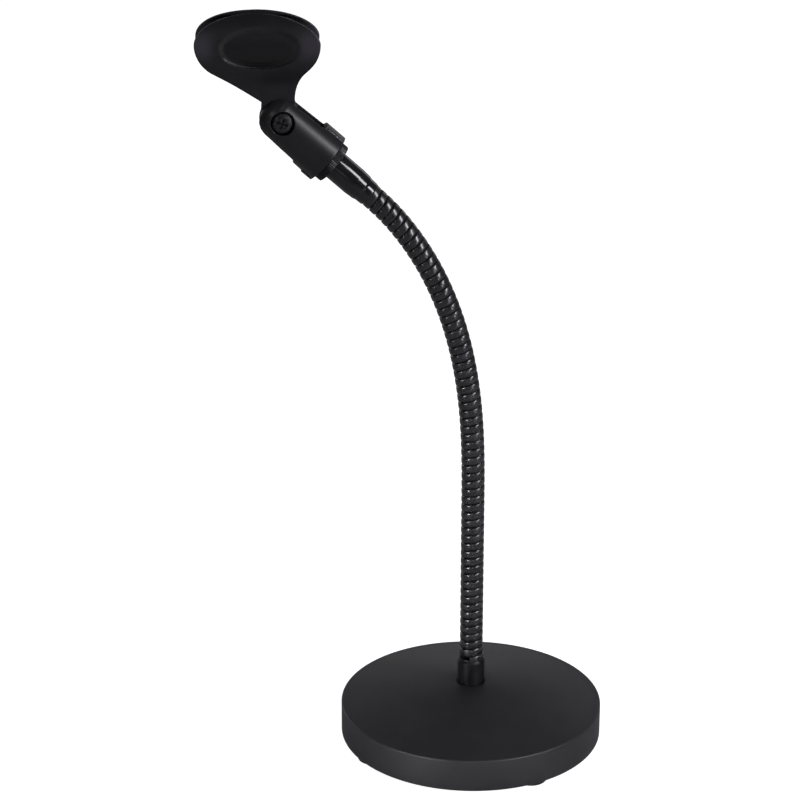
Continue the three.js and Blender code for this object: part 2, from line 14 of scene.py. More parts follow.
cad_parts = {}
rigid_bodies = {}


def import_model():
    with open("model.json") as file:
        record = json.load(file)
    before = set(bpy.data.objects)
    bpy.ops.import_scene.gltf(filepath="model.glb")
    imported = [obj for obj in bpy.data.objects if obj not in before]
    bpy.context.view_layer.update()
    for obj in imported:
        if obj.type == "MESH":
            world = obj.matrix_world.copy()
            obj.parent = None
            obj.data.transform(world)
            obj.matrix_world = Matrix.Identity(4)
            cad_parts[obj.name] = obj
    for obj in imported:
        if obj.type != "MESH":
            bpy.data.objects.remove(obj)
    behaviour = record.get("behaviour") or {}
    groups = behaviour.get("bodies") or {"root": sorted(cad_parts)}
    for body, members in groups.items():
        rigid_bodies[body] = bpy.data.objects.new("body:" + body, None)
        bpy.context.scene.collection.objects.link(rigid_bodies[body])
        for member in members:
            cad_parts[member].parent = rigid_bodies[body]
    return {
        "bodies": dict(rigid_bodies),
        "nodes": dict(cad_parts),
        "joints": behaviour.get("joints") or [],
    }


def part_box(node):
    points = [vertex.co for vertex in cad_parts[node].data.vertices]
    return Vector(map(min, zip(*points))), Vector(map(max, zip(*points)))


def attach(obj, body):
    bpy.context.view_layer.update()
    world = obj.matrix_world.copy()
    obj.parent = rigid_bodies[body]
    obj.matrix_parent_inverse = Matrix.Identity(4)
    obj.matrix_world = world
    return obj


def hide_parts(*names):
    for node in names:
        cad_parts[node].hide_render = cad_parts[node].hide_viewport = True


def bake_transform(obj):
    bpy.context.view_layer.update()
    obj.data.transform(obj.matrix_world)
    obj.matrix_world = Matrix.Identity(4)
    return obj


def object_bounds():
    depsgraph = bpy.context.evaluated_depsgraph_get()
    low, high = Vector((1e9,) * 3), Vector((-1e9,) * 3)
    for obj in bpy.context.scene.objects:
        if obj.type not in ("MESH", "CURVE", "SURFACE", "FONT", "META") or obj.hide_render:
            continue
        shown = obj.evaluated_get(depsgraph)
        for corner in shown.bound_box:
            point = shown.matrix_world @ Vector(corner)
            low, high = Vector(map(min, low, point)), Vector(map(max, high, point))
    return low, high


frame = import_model()
CAD_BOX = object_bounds()

MM = 0.001
JOINTS = {joint["name"]: joint for joint in frame["joints"]}


# ---------------------------------------------------------------- places taken from the frame
def joint_place(name):
    """Position of a joint at rest, in millimetres."""
    return Vector(JOINTS[name]["pos_m"]) / MM


def node_box(name):
    """Lowest and highest corners of a CAD node, in millimetres."""
    low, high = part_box(name)
    return low / MM, high / MM


LINK_COUNT = sum(1 for body in frame["bodies"] if body.startswith("neck_link_"))
PIVOT = joint_place("clip_tilt")
PIVOT_TO_NECK = 63.4  # from the pivot down to the last point of the neck
HEAD_AXIS = Vector(JOINTS["clip_turn"]["axis"]).normalized()  # up the head
HEAD_SIDE = Vector((HEAD_AXIS.z, 0, -HEAD_AXIS.x))  # across the head, up and to the right
TILT_AXIS = Vector(JOINTS["clip_tilt"]["axis"]).normalized()
HEAD_TURN = math.asin(TILT_AXIS.dot(HEAD_SIDE))  # how far the fork is turned about the head's axis

# The middle of the clip's tube, and of the sunk oval panel on each jaw.
CLIP_X = PIVOT.x - 12.7
CLIP_Z = PIVOT.z + 43.2
PANEL_X = CLIP_X + 1.2
PANEL_Z = CLIP_Z - 2
PANEL_HALF_LENGTH = 22
PANEL_HALF_HEIGHT = 11.5


def head_frame():
    """Places a shape drawn up the Z axis so that it stands on the pivot and runs up the head."""
    turn = Matrix((HEAD_SIDE, Vector((0, 1, 0)), HEAD_AXIS)).transposed()
    return Matrix.Translation(PIVOT) @ turn.to_4x4()


def turned_head(mesh):
    """Turns a mesh of the fork or clip about the head's axis, as far as the fork is screwed on."""
    turn = Matrix.Rotation(HEAD_TURN, 4, HEAD_AXIS)
    mesh.transform(Matrix.Translation(PIVOT) @ turn @ Matrix.Translation(-PIVOT))
    return mesh


# ---------------------------------------------------------------- mesh helpers
def finish_mesh(mesh, sharp_angle):
    """Smooth shading, with edges sharper than the angle kept crisp."""
    mesh.polygons.foreach_set("use_smooth", [True] * len(mesh.polygons))
    mesh.set_sharp_from_angle(angle=math.radians(sharp_angle))
    mesh.update()


def add_piece(name, mesh, material, sharp_angle=40):
    """Turns a mesh drawn in millimetres into a piece in metres."""
    mesh.transform(Matrix.Scale(MM, 4))
    mesh.materials.clear()
    mesh.materials.append(material)
    finish_mesh(mesh, sharp_angle)
    piece = bpy.data.objects.new(name, mesh)
    bpy.context.scene.collection.objects.link(piece)
    return piece


def mesh_from(name, points, faces):
    """A mesh from its points and faces."""
    mesh = bpy.data.meshes.new(name)
    mesh.from_pydata(points, [], faces)
    mesh.validate()
    mesh.update()
    return mesh


def rounded(profile, radius, steps=5):
    """Rounds every corner of an open outline of (x, y) points, apart from its two ends."""
    straight = math.radians(4)  # a corner that turns less than this is left alone
    side_share = 0.45  # the most of a side that one rounding may take
    profile = [Vector(point) for point in profile]
    result = [profile[0]]
    for before, corner, after in zip(profile, profile[1:], profile[2:]):
        into = before - corner
        out = after - corner
        turn = math.pi - into.angle(out)
        if turn < straight:
            result.append(corner)
            continue
        reach = min(radius * math.tan(turn / 2), side_share * into.length, side_share * out.length)
        start = corner + into.normalized() * reach
        end = corner + out.normalized() * reach
        for i in range(steps + 1):
            t = i / steps
            result.append(start * (1 - t) ** 2 + corner * 2 * t * (1 - t) + end * t ** 2)
    result.append(profile[-1])
    return [tuple(point) for point in result]


def lathe(name, profile, facets=96, place=None, ripple=None):
    """Turns an outline of (radius, height) about Z into a closed mesh.

    An outline that starts and ends on the axis is capped there, any other is closed on itself.
    ripple(radius, height, angle) may change the radius, for knurls.
    """
    on_axis = profile[0][0] < 1e-6 and profile[-1][0] < 1e-6
    rows = profile[1:-1] if on_axis else profile
    points = []
    for radius, height in rows:
        for i in range(facets):
            angle = 2 * math.pi * i / facets
            r = ripple(radius, height, angle) if ripple else radius
            points.append((r * math.cos(angle), r * math.sin(angle), height))
    faces = []
    count = len(rows)
    for row in range(count - 1 if on_axis else count):
        below = row * facets
        above = ((row + 1) % count) * facets
        for i in range(facets):
            j = (i + 1) % facets
            faces.append((below + i, below + j, above + j, above + i))
    if on_axis:
        for row, height in ((0, profile[0][1]), (count - 1, profile[-1][1])):
            centre = len(points)
            points.append((0, 0, height))
            for i in range(facets):
                j = (i + 1) % facets
                ring = (row * facets + i, row * facets + j)
                faces.append((centre, ring[1], ring[0]) if row == 0 else (centre, *ring))
    mesh = mesh_from(name, points, faces)
    if place is not None:
        mesh.transform(place)
    fix_normals(mesh)
    return mesh


def fix_normals(mesh):
    """Turns all faces outward."""
    bm = bmesh.new()
    bm.from_mesh(mesh)
    bmesh.ops.recalc_face_normals(bm, faces=bm.faces)
    bm.to_mesh(mesh)
    bm.free()


def prism(name, outline, low, high, place=None):
    """A flat outline of (x, y) points, raised from low to high, then moved to its place."""
    count = len(outline)
    points = [(p[0], p[1], low) for p in outline] + [(p[0], p[1], high) for p in outline]
    faces = [tuple(range(count)), tuple(range(count, 2 * count))]
    for i in range(count):
        j = (i + 1) % count
        faces.append((i, j, count + j, count + i))
    mesh = mesh_from(name, points, faces)
    if place is not None:
        mesh.transform(place)
    fix_normals(mesh)
    return mesh


def rod(start, end, radius, facets=96):
    """A cylinder from one point to another."""
    start, end = Vector(start), Vector(end)
    length = (end - start).length
    turn = Vector((0, 0, 1)).rotation_difference(end - start).to_matrix().to_4x4()
    profile = [(0, 0), (radius, 0), (radius, length), (0, length)]
    return lathe("rod", profile, facets, Matrix.Translation(start) @ turn)


def box_mesh(low, high, place=None):
    """A box between two corners, then moved to its place."""
    outline = [(low[0], low[1]), (high[0], low[1]), (high[0], high[1]), (low[0], high[1])]
    return prism("box", outline, low[2], high[2], place)


def hexagon_radius(flats):
    """Distance from the middle to a corner of a hexagon, from its width across flats."""
    return flats / 2 / math.cos(math.pi / 6)


def baked(obj):
    """The object's mesh with its modifiers applied. The object is removed."""
    depsgraph = bpy.context.evaluated_depsgraph_get()
    mesh = bpy.data.meshes.new_from_object(obj.evaluated_get(depsgraph))
    bpy.data.objects.remove(obj)
    return mesh


def carve(body, operations):
    """Joins, cuts or intersects meshes in turn. Each operation is (kind, mesh)."""
    obj = bpy.data.objects.new("work", body)
    bpy.context.scene.collection.objects.link(obj)
    tools = []
    for kind, mesh in operations:
        tool = bpy.data.objects.new("tool", mesh)
        bpy.context.scene.collection.objects.link(tool)
        modifier = obj.modifiers.new(kind, "BOOLEAN")
        modifier.operation = kind
        modifier.object = tool
        modifier.solver = "MANIFOLD"
        tools.append(tool)
    result = baked(obj)
    for tool in tools:
        bpy.data.objects.remove(tool)
    return result


def moulded(mesh, voxel, smoothing):
    """An even mesh of small faces with softened edges, as a moulded part has."""
    obj = bpy.data.objects.new("work", mesh)
    bpy.context.scene.collection.objects.link(obj)
    remesh = obj.modifiers.new("remesh", "REMESH")
    remesh.mode = "VOXEL"
    remesh.voxel_size = voxel
    soften = obj.modifiers.new("soften", "SMOOTH")
    soften.factor = 0.5
    soften.iterations = smoothing
    return baked(obj)


# ---------------------------------------------------------------- material helpers
class Shader:
    """A Principled material whose inputs are filled by short node chains."""

    def __init__(self, name):
        self.material = bpy.data.materials.new(name)
        self.material.use_nodes = True
        self.tree = self.material.node_tree
        self.surface = self.tree.nodes["Principled BSDF"]
        self.place = self.node("ShaderNodeTexCoord").outputs["Object"]

    def node(self, kind, **settings):
        """A new node, with its settings."""
        made = self.tree.nodes.new(kind)
        for key, value in settings.items():
            setattr(made, key, value)
        return made

    def feed(self, socket, value):
        """Links a node's output to a socket, or sets a plain value there."""
        if isinstance(value, bpy.types.NodeSocket):
            self.tree.links.new(value, socket)
        else:
            socket.default_value = value

    def noise(self, size_mm, detail=3.0, stretch=(1, 1, 1)):
        """Cloudy values from 0 to 1, with blobs of about the given size."""
        mapping = self.node("ShaderNodeMapping")
        mapping.inputs["Scale"].default_value = stretch
        self.feed(mapping.inputs["Vector"], self.place)
        made = self.node("ShaderNodeTexNoise")
        self.feed(made.inputs["Vector"], mapping.outputs[0])
        made.inputs["Scale"].default_value = 1 / (size_mm * MM)
        made.inputs["Detail"].default_value = detail
        return made.outputs["Fac"]

    def ramp(self, value, low, high, to_low=0.0, to_high=1.0):
        """Maps low..high smoothly to to_low..to_high, and holds the ends beyond."""
        made = self.node("ShaderNodeMapRange")
        made.interpolation_type = "SMOOTHSTEP"
        self.feed(made.inputs["Value"], value)
        limits = {"From Min": low, "From Max": high, "To Min": to_low, "To Max": to_high}
        for key, number in limits.items():
            self.feed(made.inputs[key], number)
        return made.outputs["Result"]

    def math(self, operation, *values):
        """A number worked out from one or two others."""
        made = self.node("ShaderNodeMath", operation=operation)
        for socket, value in zip(made.inputs, values):
            self.feed(socket, value)
        return made.outputs[0]

    def offset_from(self, x, z):
        """How far a place lies from a point in the side view, along X and along Z, in metres."""
        apart = self.node("ShaderNodeSeparateXYZ")
        self.feed(apart.inputs[0], self.place)
        along = self.math("SUBTRACT", apart.outputs["X"], x * MM)
        above = self.math("SUBTRACT", apart.outputs["Z"], z * MM)
        return along, above

    def mix(self, share, a, b):
        """The first colour where the share is 0, the second where it is 1."""
        made = self.node("ShaderNodeMix", data_type="RGBA")
        self.feed(made.inputs["Factor"], share)
        for socket, value in ((made.inputs[6], a), (made.inputs[7], b)):
            self.feed(socket, (*value, 1) if isinstance(value, tuple) else value)
        return made.outputs[2]

    def edges(self, low, high):
        """1 on worn, sharply raised edges."""
        return self.ramp(self.node("ShaderNodeNewGeometry").outputs["Pointiness"], low, high)

    def bump(self, *layers):
        """Stacks bumps, each given as (height value, depth in mm, strength)."""
        normal = None
        for height, depth, strength in layers:
            made = self.node("ShaderNodeBump")
            made.inputs["Strength"].default_value = strength
            made.inputs["Distance"].default_value = depth * MM
            self.feed(made.inputs["Height"], height)
            if normal is not None:
                self.feed(made.inputs["Normal"], normal)
            normal = made.outputs["Normal"]
        self.feed(self.surface.inputs["Normal"], normal)

    def set(self, **inputs):
        """Fills inputs of the surface. An underscore in a name stands for a space."""
        for key, value in inputs.items():
            socket = self.surface.inputs[key.replace("_", " ")]
            self.feed(socket, (*value, 1) if isinstance(value, tuple) else value)


def scaled(colour, factor):
    """The colour made lighter or darker by a factor."""
    return tuple(factor * part for part in colour)


def powder_coat():
    """Fine matt powder coat: tiny pebbled grain and faint clouds."""
    dark, light, grain_tip = (0.0095, 0.0092, 0.0112), (0.0135, 0.013, 0.015), (0.026, 0.026, 0.028)
    m = Shader("powder_coat_black")
    grain = m.noise(0.45, detail=4)
    clouds = m.noise(24, detail=3)
    colour = m.mix(m.ramp(clouds, 0.3, 0.7), dark, light)
    colour = m.mix(m.math("MULTIPLY", m.ramp(grain, 0.45, 0.8), 0.5), colour, grain_tip)
    roughness = m.ramp(grain, 0.3, 0.8, 0.44, 0.58)
    m.set(Base_Color=colour, Roughness=roughness, Metallic=0.0, Specular_IOR_Level=0.5)
    m.bump((m.noise(1.6, detail=2), 0.05, 0.35), (grain, 0.05, 0.55))
    return m.material


def gloss_wire():
    """Gloss black plating over drawn wire: fine unevenness and an uneven sheen."""
    dark, light = (0.008, 0.008, 0.0095), (0.015, 0.015, 0.0175)
    m = Shader("neck_gloss_black")
    smear = m.noise(5, detail=3)
    fine = m.noise(0.5, detail=3)
    colour = m.mix(m.ramp(smear, 0.35, 0.7), dark, light)
    m.set(Base_Color=colour, Roughness=m.ramp(smear, 0.3, 0.75, 0.22, 0.36))
    m.set(Coat_Weight=0.3, Coat_Roughness=0.12)
    m.bump((fine, 0.015, 0.2))
    return m.material


def coil_steel():
    """Dark oiled spring steel."""
    dark, light = (0.02, 0.02, 0.022), (0.06, 0.058, 0.06)
    m = Shader("coil_steel")
    oil = m.noise(3, detail=4)
    colour = m.mix(m.ramp(oil, 0.35, 0.7), dark, light)
    m.set(Base_Color=colour, Metallic=0.8, Roughness=m.ramp(oil, 0.3, 0.7, 0.35, 0.55))
    m.bump((m.noise(0.3, detail=2), 0.015, 0.3))
    return m.material


def gloss_ferrule():
    """Gloss black plated steel, very slightly uneven under the plating."""
    dark, light = (0.004, 0.0039, 0.0055), (0.008, 0.0078, 0.01)
    m = Shader("ferrule_gloss_black")
    smear = m.noise(6, detail=3)
    colour = m.mix(m.ramp(smear, 0.3, 0.7), dark, light)
    m.set(Base_Color=colour, Roughness=m.ramp(smear, 0.3, 0.7, 0.1, 0.17))
    m.set(Coat_Weight=0.3, Coat_Roughness=0.05, Specular_IOR_Level=0.4)
    m.bump((m.noise(0.8, detail=2), 0.004, 0.15))
    return m.material


def satin_ferrule():
    """Satin black plated steel, a little lighter on its worn edges."""
    dark, light, worn = (0.003, 0.003, 0.0035), (0.006, 0.006, 0.0068), (0.04, 0.04, 0.04)
    m = Shader("ferrule_satin_black")
    fine = m.noise(0.4, detail=3)
    smear = m.noise(7, detail=3)
    colour = m.mix(m.ramp(smear, 0.3, 0.7), dark, light)
    colour = m.mix(m.math("MULTIPLY", m.edges(0.56, 0.66), 0.3), colour, worn)
    m.set(Base_Color=colour, Roughness=m.ramp(smear, 0.3, 0.7, 0.34, 0.46), Specular_IOR_Level=0.2)
    m.bump((fine, 0.015, 0.3))
    return m.material


def moulded_plastic(name, dark, light, roughness, grain_mm, grain_depth, marks=()):
    """Moulded black plastic: fine mould grain, faint flow clouds, edges polished by handling.

    Each mark is a function that masks some places of the shader, and the colour shown there.
    """
    polished = scaled(light, 2.4)
    m = Shader(name)
    grain = m.noise(grain_mm, detail=3)
    flow = m.noise(13, detail=3, stretch=(1, 1.4, 0.7))
    colour = m.mix(m.ramp(flow, 0.3, 0.7), dark, light)
    colour = m.mix(m.math("MULTIPLY", m.edges(0.53, 0.6), 0.3), colour, polished)
    for mask, mark_colour in marks:
        colour = m.mix(mask(m), colour, mark_colour)
    low, high = roughness
    m.set(Base_Color=colour, Roughness=m.ramp(grain, 0.3, 0.75, low, high), Specular_IOR_Level=0.4)
    m.bump((flow, 0.04, 0.15), (grain, grain_depth, 0.6))
    return m.material


def painted_highlight_jaw_ends(m):
    """Painted highlight, lighter colour standing in for light: both ends of the jaws, at mid height."""
    along, above = m.offset_from(CLIP_X, CLIP_Z)
    near_end = m.ramp(m.math("ABSOLUTE", along), 19 * MM, 28 * MM)
    at_mid_height = m.ramp(m.math("ABSOLUTE", above), 1 * MM, 11 * MM, 1.0, 0.0)
    return m.math("MULTIPLY", near_end, at_mid_height)


def panel_painted_shade(m):
    """The sunk oval of the finger panels, darkened as painted shade."""
    along, above = m.offset_from(PANEL_X, PANEL_Z)
    along = m.math("DIVIDE", along, PANEL_HALF_LENGTH * MM)
    above = m.math("DIVIDE", above, PANEL_HALF_HEIGHT * MM)
    reach = m.math("ADD", m.math("MULTIPLY", along, along), m.math("MULTIPLY", above, above))
    return m.ramp(reach, 0.6, 0.8, 1.0, 0.0)


def yoke_plastic():
    """Plastic of the fork: smoother and a little lighter than the clip's."""
    dark, light = (0.009, 0.0092, 0.011), (0.0125, 0.0128, 0.015)
    return moulded_plastic("yoke_plastic_black", dark, light, (0.3, 0.4), 0.5, 0.02)


def clip_plastic():
    """Plastic of the clip: painted highlights at the ends of the jaws, and painted shade in the sunk
    panels.
    """
    dark, light = (0.0052, 0.005, 0.0068), (0.0078, 0.0074, 0.0095)
    # Marks: a painted highlight on the jaw ends, and painted shade in the sunk panels.
    marks = ((painted_highlight_jaw_ends, scaled(light, 4.2)), (panel_painted_shade, scaled(dark, 0.45)))
    return moulded_plastic("clip_plastic_black", dark, light, (0.42, 0.56), 0.4, 0.03, marks)


def black_oxide(name, dark, light):
    """Black oxide steel with rubbed edges."""
    rubbed = (0.2, 0.195, 0.19)
    m = Shader(name)
    spots = m.noise(1.2, detail=4)
    colour = m.mix(m.ramp(spots, 0.4, 0.75), dark, light)
    colour = m.mix(m.math("MULTIPLY", m.edges(0.54, 0.62), 0.6), colour, rubbed)
    m.set(Base_Color=colour, Metallic=0.55, Roughness=m.ramp(spots, 0.3, 0.8, 0.28, 0.45))
    m.bump((m.noise(0.25, detail=2), 0.012, 0.3))
    return m.material


def zinc_plate():
    """Bright zinc plate with a cloudy bloom."""
    dark, light = (0.34, 0.35, 0.37), (0.52, 0.53, 0.54)
    m = Shader("zinc_plated_steel")
    bloom = m.noise(2.5, detail=4)
    colour = m.mix(m.ramp(bloom, 0.3, 0.7), dark, light)
    m.set(Base_Color=colour, Metallic=1.0, Roughness=m.ramp(bloom, 0.3, 0.7, 0.26, 0.42))
    m.bump((m.noise(0.3, detail=2), 0.01, 0.3))
    return m.material


def rubber():
    """Matt black rubber with a little dust."""
    clean, dusty = (0.008, 0.008, 0.008), (0.03, 0.029, 0.028)
    m = Shader("foot_rubber")
    dust = m.noise(1.5, detail=5)
    colour = m.mix(m.ramp(dust, 0.45, 0.8), clean, dusty)
    m.set(Base_Color=colour, Roughness=m.ramp(dust, 0.3, 0.7, 0.75, 0.92))
    m.bump((m.noise(0.35, detail=3), 0.03, 0.5))
    return m.material


POWDER = powder_coat()
WIRE = gloss_wire()
COIL = coil_steel()
GLOSS = gloss_ferrule()
SATIN = satin_ferrule()
YOKE_PLASTIC = yoke_plastic()
CLIP_PLASTIC = clip_plastic()
OXIDE = black_oxide("hardware_black_oxide", (0.02, 0.02, 0.022), (0.05, 0.05, 0.054))
# The collar's copy of the black oxide is darker: painted shade under the fork.
SHADED_COLLAR_OXIDE = black_oxide("collar_black_oxide_painted_shade", (0.007, 0.007, 0.008), (0.016, 0.016, 0.018))
ZINC = zinc_plate()
RUBBER = rubber()


# ---------------------------------------------------------------- base
BASE_RADIUS = node_box("base_casting")[1].x
BASE_CROWN_Z = node_box("base_casting")[1].z
BASE_SIDE_HEIGHT = 19.3
BASE_EDGE_ROUNDING = 1.1
BASE_FACETS = 256
DOME_EDGE_RADIUS = BASE_RADIUS - 1.4
DOME_SHOULDER_RADIUS = 40
DOME_SHOULDER_Z = 28.4
DOME_FLAT_RADIUS = 11
RIM_INNER_RADIUS = 55
BOSS_RADIUS = 17
CAVITY_CEILING_Z = 19.5
CAVITY_CEILING_DROP = 3.5  # how much lower the ceiling is at the rim than at the boss
BOLT_HOLE_RADIUS = 4.3
COUNTERBORE_RADIUS = 11.5
WASHER_SEAT_Z = 9.6
FERRULE_RADIUS = 7.9
FERRULE_SEAT_DEPTH = 1.5
FERRULE_SEAT_ROUNDING = 0.4
FOOT_CLEARANCE = 0.25
FOOT_NODES = sorted(name for name in frame["nodes"] if name.startswith("rubber_foot_"))


def dome_points(steps=28):
    """Domed top of the base, from its edge to the flat middle."""
    edge = Vector((DOME_EDGE_RADIUS, BASE_SIDE_HEIGHT))
    shoulder = Vector((DOME_SHOULDER_RADIUS, DOME_SHOULDER_Z))
    crown = Vector((DOME_FLAT_RADIUS, BASE_CROWN_Z))
    points = []
    for i in range(steps + 1):
        t = i / steps
        points.append(tuple(edge * (1 - t) ** 2 + shoulder * 2 * t * (1 - t) + crown * t * t))
    return points


def base_mesh():
    """The casting, hollow below, with a boss for the bolt and a socket for each foot."""
    underside = [
        (BOLT_HOLE_RADIUS, WASHER_SEAT_Z),
        (COUNTERBORE_RADIUS, WASHER_SEAT_Z),
        (COUNTERBORE_RADIUS, 0),
        (BOSS_RADIUS, 0),
        (BOSS_RADIUS + 1, CAVITY_CEILING_Z),
        (RIM_INNER_RADIUS - 1, CAVITY_CEILING_Z - CAVITY_CEILING_DROP),
        (RIM_INNER_RADIUS, 0),
        (BASE_RADIUS, 0),
        (BASE_RADIUS, BASE_SIDE_HEIGHT + 0.15),
        (BASE_RADIUS - 2.2, BASE_SIDE_HEIGHT + 0.35),
    ]
    seat_radius = FERRULE_RADIUS + 0.3
    seat_floor = BASE_CROWN_Z - FERRULE_SEAT_DEPTH
    top = [
        dome_points()[-2],
        (seat_radius, BASE_CROWN_Z),
        (seat_radius, seat_floor),
        (BOLT_HOLE_RADIUS, seat_floor),
    ]
    profile = rounded(underside, BASE_EDGE_ROUNDING)[:-1]
    profile += dome_points()[1:-1]
    profile += rounded(top, FERRULE_SEAT_ROUNDING)[1:]
    sockets = []
    for node in FOOT_NODES:
        centre, radius, top_z = foot_place(node)
        start, end = (centre.x, centre.y, -1), (centre.x, centre.y, top_z + 0.2)
        sockets.append(("DIFFERENCE", rod(start, end, radius + FOOT_CLEARANCE, 64)))
    return carve(lathe("base_body", profile, BASE_FACETS), sockets)


def foot_place(node):
    """Middle, radius and top of a foot, from its CAD node."""
    low, high = node_box(node)
    return (low + high) / 2, (high.x - low.x) / 2, high.z


def foot_mesh(node):
    """A rubber foot: a disc whose lower face rises a little toward its middle."""
    centre, radius, top_z = foot_place(node)
    floor_z = node_box(node)[0].z
    profile = [(0, floor_z + 0.35), (radius - 3.2, floor_z), (radius, floor_z), (radius, top_z), (0, top_z)]
    return lathe(node, rounded(profile, 0.7), 64, Matrix.Translation((centre.x, centre.y, 0)))


def build_base():
    """The casting and its feet."""
    casting = add_piece("base_body", base_mesh(), POWDER, 38)
    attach(casting, "base")
    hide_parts("base_casting")
    for node in FOOT_NODES:
        foot = add_piece(node.replace("rubber_foot", "foot"), foot_mesh(node), RUBBER)
        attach(foot, "base")
        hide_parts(node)


# ---------------------------------------------------------------- centre bolt
BOLT_FLATS = 13
BOLT_HEAD_HEIGHT = 5.3
BOLT_SHANK_RADIUS = 3.7
LOCK_WASHER_BORE = 4.1
FLAT_WASHER_BORE = 4.2


def bolt_mesh():
    """Hexagon head with chamfered corners on a plain shank."""
    low, high = node_box("base_bolt")
    corner = hexagon_radius(BOLT_FLATS)
    corner_angles = [math.radians(60 * i) for i in range(6)]
    outline = [(corner * math.cos(angle), corner * math.sin(angle)) for angle in corner_angles]
    hexagon = prism("hexagon", outline, low.z, BOLT_HEAD_HEIGHT)
    above_head = BOLT_HEAD_HEIGHT + 1
    cone = [
        (0, -0.5),
        (corner - 1.6, -0.5),
        (corner + 0.4, 1.1),
        (corner + 0.4, above_head),
        (0, above_head),
    ]
    in_head = BOLT_HEAD_HEIGHT - 1
    shank = [
        (0, in_head),
        (BOLT_SHANK_RADIUS, in_head),
        (BOLT_SHANK_RADIUS, high.z - 0.8),
        (BOLT_SHANK_RADIUS - 0.8, high.z),
        (0, high.z),
    ]
    return carve(hexagon, [("INTERSECT", lathe("cone", cone, 96)), ("UNION", lathe("shank", shank, 48))])


def washer_mesh(node, bore):
    """A flat ring with softened edges."""
    low, high = node_box(node)
    profile = [(bore, low.z), (high.x, low.z), (high.x, high.z), (bore, high.z)]
    return lathe(node, rounded(profile + profile[:2], 0.25, 3)[1:-1], 72)


def lock_washer_mesh():
    """A spring washer: a ring cut through once on a slant."""
    low, high = node_box("lock_washer")
    middle_z = (low.z + high.z) / 2
    slant = Matrix.Translation((5.5, 0, middle_z)) @ Matrix.Rotation(math.radians(25), 4, "X")
    cut = box_mesh((-3, -0.4, -4), (3, 0.4, 4), slant)
    return carve(washer_mesh("lock_washer", LOCK_WASHER_BORE), [("DIFFERENCE", cut)])


def build_bolt():
    """The bolt and both washers under the base."""
    parts = (
        ("base_bolt", "centre_bolt", bolt_mesh()),
        ("lock_washer", "spring_washer", lock_washer_mesh()),
        ("flat_washer", "plain_washer", washer_mesh("flat_washer", FLAT_WASHER_BORE)),
    )
    for node, name, mesh in parts:
        piece = add_piece(name, mesh, ZINC, 30)
        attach(piece, "base")
        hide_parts(node)


# ---------------------------------------------------------------- gooseneck
TURNS_PER_LINK = 3.05
WIRE_CREST = 6.7  # radius of the outer wire's back
WIRE_APEX = 4.55  # radius of its inner edge
WIRE_FLARE = 0.3  # how much wider the outer wire stands where it leaves the lower ferrule
FLARE_LENGTH = 0.5  # in links
WIRE_ENDS = (-0.09, 20.04)  # in links above the first bending point
COIL_CENTRE_RADIUS = 3.7
COIL_WIRE_RADIUS = 1.45
COIL_ENDS = (-0.06, 20.0)


def neck_anchors():
    """Bending points of the neck from bottom to top, and the point where the upper ferrule starts."""
    anchors = [joint_place(name) for name in JOINTS if name.startswith(("neck_bend_", "neck_sway_"))]
    anchors.sort(key=lambda point: point.z)
    anchors.append(PIVOT - HEAD_AXIS * PIVOT_TO_NECK)
    return anchors


ANCHORS = neck_anchors()


def neck_point(u):
    """Centre line of the neck: a smooth curve through the bending points, u links above the first."""
    k = min(max(int(math.floor(u)), 0), LINK_COUNT - 1)
    t = u - k
    b, c = ANCHORS[k], ANCHORS[k + 1]
    a = ANCHORS[k - 1] if k > 0 else b * 2 - c
    d = ANCHORS[k + 2] if k + 2 <= LINK_COUNT else c * 2 - b
    second = 2 * a - 5 * b + 4 * c - d
    third = 3 * b - a - 3 * c + d
    return 0.5 * (2 * b + (c - a) * t + second * t * t + third * t ** 3)


def neck_direction(u):
    """Direction of the centre line."""
    step = 0.02
    return (neck_point(u + step) - neck_point(u - step)).normalized()


def neck_surface(u, radius, angle):
    """A point round the neck. The angle starts on the side away from the curl and turns toward +Y."""
    direction = neck_direction(u)
    side = Vector((direction.z, 0, -direction.x))
    return neck_point(u) + (side * math.cos(angle) + Vector((0, 1, 0)) * math.sin(angle)) * radius


def wire_section():
    """Outer wire cut across: a nearly flat back, round shoulders, and flanks that wedge into the coil.

    Points are (distance along the neck, radius).
    """
    back = [(0, WIRE_CREST), (0.9, WIRE_CREST - 0.02), (1.55, WIRE_CREST - 0.08)]
    shoulder = [(1.95, WIRE_CREST - 0.22), (2.18, WIRE_CREST - 0.42), (2.27, WIRE_CREST - 0.72)]
    flank = [(1.7, WIRE_CREST - 1.4), (0.5, WIRE_APEX)]
    half = back + shoulder + flank
    return half + [(-along, radius) for along, radius in reversed(half[1:])]


def coil_section(steps=10):
    """Inner coil cut across: a round wire."""
    points = []
    for i in range(steps):
        angle = 2 * math.pi * i / steps
        along = COIL_WIRE_RADIUS * math.cos(angle)
        points.append((along, COIL_CENTRE_RADIUS + COIL_WIRE_RADIUS * math.sin(angle)))
    return points


def helix_mesh(name, section, flare, phase, start, end, steps_per_turn):
    """A wire wound right-handed round the neck from one place to another, with closed ends.

    The phase is counted in turns. The wire stands out by the flare at the foot of the neck.
    """
    link_length = (ANCHORS[1] - ANCHORS[0]).length
    steps = max(2, round((end - start) * TURNS_PER_LINK * steps_per_turn))
    points, faces = [], []
    for i in range(steps + 1):
        u = start + (end - start) * i / steps
        angle = 2 * math.pi * (TURNS_PER_LINK * u + phase)
        proud = flare * max(0.0, 1 - max(u, 0) / FLARE_LENGTH)
        for along, radius in section:
            points.append(neck_surface(u + along / link_length, radius + proud, angle))
    count = len(section)
    for i in range(steps):
        for j in range(count):
            k = (j + 1) % count
            faces.append((i * count + j, i * count + k, (i + 1) * count + k, (i + 1) * count + j))
    faces.append(tuple(range(count)))
    faces.append(tuple(steps * count + j for j in range(count)))
    mesh = mesh_from(name, points, faces)
    fix_normals(mesh)
    return mesh


